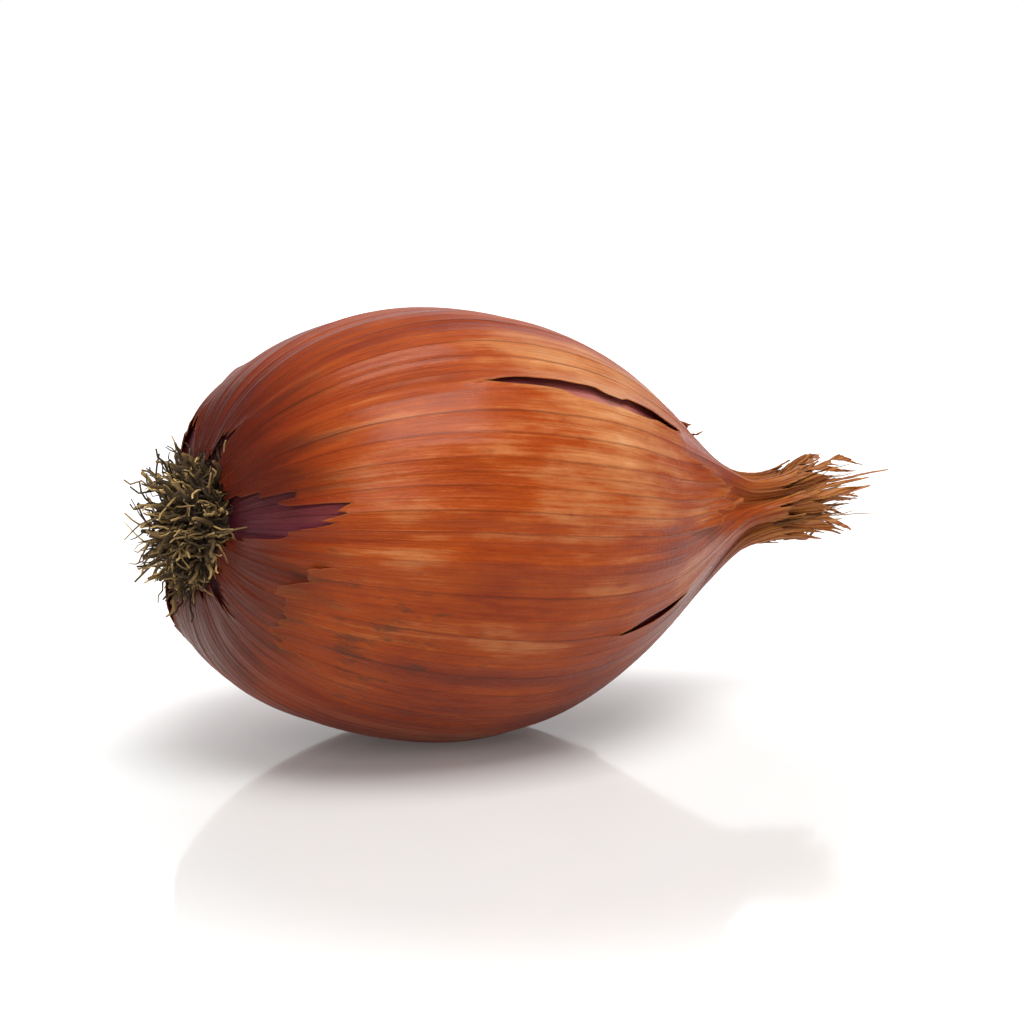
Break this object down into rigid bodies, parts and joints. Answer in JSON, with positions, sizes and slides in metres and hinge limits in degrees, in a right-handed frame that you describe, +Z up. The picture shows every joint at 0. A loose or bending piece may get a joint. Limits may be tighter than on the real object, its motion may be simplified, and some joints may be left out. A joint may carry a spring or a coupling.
{
  "type": "shallot",
  "caption": "Whole dry shallot lying on its side, with glossy copper-brown papery skin, a short matted root tuft at one end and a dried, frayed neck at the other.",
  "frame": {"origin": "centre of the bounding box's base, on the surface that the shallot lies on", "axes": "+Z up; +X along the shallot's length, from the root end towards the neck end"},
  "size_m": [0.0654, 0.037, 0.0349],
  "materials": {
    "shallot_skin": "satin to glossy dry papery skin, copper brown, with darker lengthwise veins and a purplish ring round the roots",
    "dry_neck": "matt, brittle, straw to brown dried sheaths",
    "root_fibre": "matt, earthy grey-brown and tan dried root fibres"
  },
  "bodies": {
    "root": {"shallot": "shallot_skin"}
  },
  "joints": []
}
